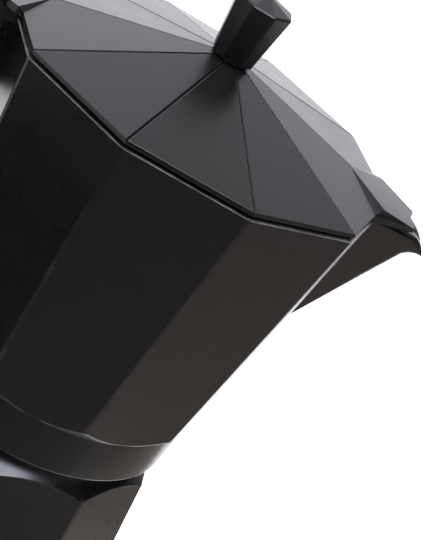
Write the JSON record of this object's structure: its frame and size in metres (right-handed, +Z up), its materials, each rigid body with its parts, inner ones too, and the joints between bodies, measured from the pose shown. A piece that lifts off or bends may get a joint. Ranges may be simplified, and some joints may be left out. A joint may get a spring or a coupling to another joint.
{
  "type": "stovetop moka coffee pot",
  "caption": "Faceted black stovetop coffee pot: screw-on spouted collector with hinged lid and side handle over a boiler holding a lift-out funnel, a seal and a sprung safety valve.",
  "frame": {"origin": "on the pot's upright axis, at the level of the base's resting face", "axes": "+Z up along the pot's axis, +X towards the spout, the handle and hinge on -X, the safety valve 72 degrees from the spout on the +Y side"},
  "size_m": [0.172, 0.1058, 0.2039],
  "materials": {
    "black_body": "satin black coating on cast aluminium",
    "bare_aluminium": "bare, lightly brushed",
    "black_plastic": "moulded, semi-matte",
    "gasket": "matte off-white silicone",
    "brass": "machined",
    "copper_washer": "flat sealing washer",
    "steel": "bright drawn"
  },
  "bodies": {
    "base": {"boiler": "black_body", "valve_body": "brass", "valve_washer": "copper_washer", "valve_seat": "brass", "valve_spring": "steel"},
    "plunger": {"valve_plunger": "steel"},
    "strainer": {"funnel": "bare_aluminium", "funnel_plate": "bare_aluminium"},
    "seals": {"gasket": "gasket", "filter_plate": "bare_aluminium"},
    "top": {"collector": "black_body", "hinge_pin": "steel", "handle": "black_plastic", "handle_insert": "brass", "handle_screw": "steel"},
    "cover": {"lid": "black_body", "knob": "black_plastic", "knob_insert": "brass", "knob_washer": "steel", "knob_screw": "steel"}
  },
  "joints": [
    {"name": "funnel_lift", "type": "slide", "parent": "base", "child": "strainer", "axis": [0, 0, 1], "range_m": [0, 0.084]},
    {"name": "seals_lift", "type": "slide", "parent": "strainer", "child": "seals", "axis": [0, 0, 1], "range_m": [0, 0.006]},
    {"name": "collector_twist", "type": "hinge", "parent": "seals", "child": "top", "pos_m": [0, 0, 0.094], "axis": [0, 0, 1], "range_deg": [0, 720]},
    {"name": "lid_hinge", "type": "hinge", "parent": "top", "child": "cover", "pos_m": [-0.06, 0, 0.1723], "axis": [0, -1, 0], "range_deg": [0, 110]},
    {"name": "valve_lift", "type": "slide", "parent": "base", "child": "plunger", "axis": [0.309, 0.9511, 0], "range_m": [0, 0.0015], "stiffness_N_per_m": 2000, "springref_m": -0.0015, "deforming": ["valve_spring"]}
  ],
  "couplings": [
    {"joint": "seals_lift", "follows": "collector_twist", "m_per_rad": 0.00047746}
  ]
}
